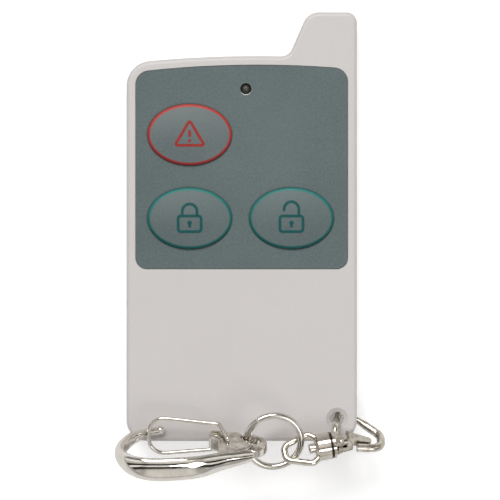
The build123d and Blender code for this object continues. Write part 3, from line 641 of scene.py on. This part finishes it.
def lamp_highlight_lip():
    """A thin light crescent on the hole's lower side, a painted highlight where its edge catches
    the light.
    """
    start, end, count = 215, 325, 24
    width, thickness = 0.2, 0.02
    inner_gap, outer_gap = 0.03, 0.02
    edge_rise, crest_rise = 0.01, 0.07
    x, y = lamp_place
    inner = arc((x, y), lamp_hole_radius + inner_gap, start, end, count)
    outer = arc((x, y - width), lamp_hole_radius + outer_gap, start, end, count)
    shape = bmesh.new()
    rows = []
    for a, b in zip(inner, outer):
        middle = ((a[0] + b[0]) / 2, (a[1] + b[1]) / 2)
        rows.append([
            shape.verts.new(Vector((*spot, overlay_top_z + rise)) * mm)
            for spot, rise in ((a, edge_rise), (middle, crest_rise), (b, edge_rise))
        ])
    strip(shape, rows)
    new_piece("lamp_highlight_lip", shape, painted_highlight_plastic, "case", thickness)


lamp_highlight_lip()


# Film skirts round the keys

skirt_drop = 0.03
skirt_depth = 0.12
# the skirt's section, as (share of the key's clearance, rise over its top)
skirt_section = (
    (0.005, -skirt_depth), (0.005, 0.0), (0.6, 0.01), (0.9, -0.02), (0.9, -skirt_depth)
)


def key_skirt(key, count=120):
    """The thin lip of slate film round a key's foot, which closes the slit about it."""
    x, y = key_places[key]
    shape = bmesh.new()
    rings = []
    for share, rise in skirt_section:
        reach = share * key_clearance
        half_length, half_width = key_half_length + reach, key_half_width + reach
        z = overlay_top_z - skirt_drop + rise
        turns = [radians(360 * i / count) for i in range(count)]
        oval = [(x + half_length * cos(t), y + half_width * sin(t), z) for t in turns]
        rings.append([shape.verts.new(Vector(spot) * mm) for spot in oval])
    strip(shape, rings + rings[:1], around=True)
    new_piece(f"{key}_skirt", shape, skirt_film, f"{key}_key")


for key in key_places:
    key_skirt(key)


# Floor, light and camera, whose places are in metres

floor_gap = 0.0002
paper_glow, painted_shadow_glow = 0.4, 0.06
shade_inset = 0.002


def paper_finish():
    """White paper that the camera and glass see a little brighter, with its shadow kept, and a
    painted shadow under the lower half of the case.
    """
    tone_size, gloss_size, tooth_size, tooth_depth = 60.0, 20.0, 1.0, 0.01
    finish = Finish("floor_paper")
    tone = finish.noise(tone_size)
    finish.colour(finish.tones(tone, (0.3, srgb(238, 238, 238)), (0.7, srgb(241, 241, 241))))
    finish.roughness(finish.levels(finish.noise(gloss_size), 0.75, 0.9))
    finish.bumps((finish.noise(tooth_size), tooth_depth))
    finish.set(Specular_IOR_Level=0.1)
    rays = finish.node("ShaderNodeLightPath").outputs
    seen = finish.maths("MAXIMUM", rays["Is Camera Ray"], rays["Is Transmission Ray"])
    # painted shadow: under the lower half of the case the paper glows less and looks dark, which
    # shows through the key hole
    low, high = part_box("rear_shell")
    spread = finish.axes(finish.place)
    left_of = finish.maths("LESS_THAN", spread["X"], low[0] + shade_inset)
    right_of = finish.maths("GREATER_THAN", spread["X"], high[0] - shade_inset)
    below = finish.maths("LESS_THAN", spread["Y"], low[1] + shade_inset)
    above = finish.maths("GREATER_THAN", spread["Y"], 0.0)
    beside = finish.maths("MAXIMUM", left_of, right_of)
    uncovered = finish.maths("MAXIMUM", beside, finish.maths("MAXIMUM", below, above))
    brightness = finish.levels(uncovered, painted_shadow_glow, paper_glow)
    glow = finish.node("ShaderNodeEmission")
    glow.inputs["Color"].default_value = (1, 1, 1, 1)
    finish.link(finish.maths("MULTIPLY", seen, brightness), glow.inputs["Strength"])
    both = finish.node("ShaderNodeAddShader")
    finish.link(finish.shader.outputs["BSDF"], both.inputs[0])
    finish.link(glow.outputs["Emission"], both.inputs[1])
    finish.link(both.outputs["Shader"], finish.tree.nodes["Material Output"].inputs["Surface"])
    return finish


def studio_floor(z, half=1.6, flat_share=0.7, curl=0.4, segments=32):
    """A sheet under the fob that curls up a little at its far edges."""
    shape = bmesh.new()
    bmesh.ops.create_grid(shape, x_segments=segments, y_segments=segments, size=half)
    for vertex in shape.verts:
        reach = max(0.0, vertex.co.xy.length - half * flat_share)
        vertex.co.z = z + reach**2 * curl
    floor = new_object("studio_floor", shape, paper_finish())


studio_floor(cad_box[0].z - floor_gap)


def soft_lamp(name, place, size, power):
    """A soft box that faces the middle of the scene."""
    light = bpy.data.lights.new(name, "AREA")
    light.shape = "RECTANGLE"
    light.size, light.size_y = size
    light.energy = power
    lamp = bpy.data.objects.new(name, light)
    lamp.location = place
    lamp.visible_camera = False
    lamp.rotation_euler = (-Vector(place)).to_track_quat("-Z", "Y").to_euler()
    bpy.context.collection.objects.link(lamp)


soft_lamp("key_light", (-0.20, 0.70, 1.10), size=(0.98, 0.56), power=12.6)
soft_lamp("fill_light", (0.5, -0.55, 0.9), size=(0.5, 0.5), power=2.6)

world = bpy.data.worlds.new("studio")
bpy.context.scene.world = world
world.use_nodes = True
studio = Nodes(world.node_tree, "Generated")
directions = studio.axes(studio.place)


def bands(axis, *stops):
    """Bands of slightly warm light across the room, from (place along the axis, level) stops."""
    share = studio.levels(directions[axis], 0.0, 1.0, start=-1.0, end=1.0)
    return studio.tones(share, *(
        ((place + 1) / 2, (level, level * 0.99, level * 0.97, 1)) for place, level in stops
    ))


def background(colour, strength=1.0):
    """The light that a room of a colour gives."""
    room = studio.node("ShaderNodeBackground")
    studio.feed(colour, room.inputs["Color"])
    room.inputs["Strength"].default_value = strength
    return room.outputs["Background"]


def chosen(factor, usual, other):
    """The usual shader, or the other where the factor is one."""
    mix = studio.node("ShaderNodeMixShader")
    studio.link(factor, mix.inputs["Fac"])
    studio.link(usual, mix.inputs[1])
    studio.link(other, mix.inputs[2])
    return mix.outputs["Shader"]


# Reflections see long white cards between dark flags, which draw lines along the metal
cards_along_y = bands(
    "Y",
    (-1.0, 0.78), (-0.76, 0.74), (-0.69, 0.46), (-0.65, 0.03), (-0.54, 0.03), (-0.51, 1.0),
    (-0.40, 1.0), (-0.38, 0.02), (-0.23, 0.02), (-0.20, 0.62), (-0.02, 0.60), (0.04, 1.0),
    (0.28, 1.0), (0.34, 0.60), (0.42, 0.12), (0.56, 0.14), (0.64, 0.50), (1.0, 0.42),
)
cards_along_x = bands(
    "X",
    (-1.0, 0.85), (-0.66, 1.0), (-0.54, 0.7), (-0.44, 0.7), (-0.34, 1.0), (0.34, 1.0),
    (0.44, 0.6), (0.56, 0.6), (0.66, 1.0), (1.0, 0.85),
)
cards = studio.blend(1.0, cards_along_y, cards_along_x, kind="MULTIPLY")
rays = studio.node("ShaderNodeLightPath").outputs
straight = studio.maths("MAXIMUM", rays["Is Camera Ray"], rays["Is Transmission Ray"])
soft_room = background((1.0, 0.99, 0.975, 1), strength=0.34)
lit_room = chosen(rays["Is Glossy Ray"], soft_room, background(cards))
seen_room = chosen(straight, lit_room, background((1, 1, 1, 1)))
studio.link(seen_room, studio.tree.nodes["World Output"].inputs["Surface"])

# A long lens straight above, whose frame is 108.55 mm wide at the face of the case
view_width = 108.55 * mm
view_x, view_y = 1.80 * mm, -0.33 * mm
camera_data = bpy.data.cameras.new("camera")
camera_data.lens = 1200.0
camera_data.sensor_width = 36.0
camera_data.clip_start = 0.1
camera_data.clip_end = 50.0
camera = bpy.data.objects.new("camera", camera_data)
distance = view_width * camera_data.lens / camera_data.sensor_width
camera.location = (view_x, view_y, face_z * mm + distance)
bpy.context.collection.objects.link(camera)
bpy.context.scene.camera = camera
bpy.context.scene.view_settings.view_transform = "Standard"
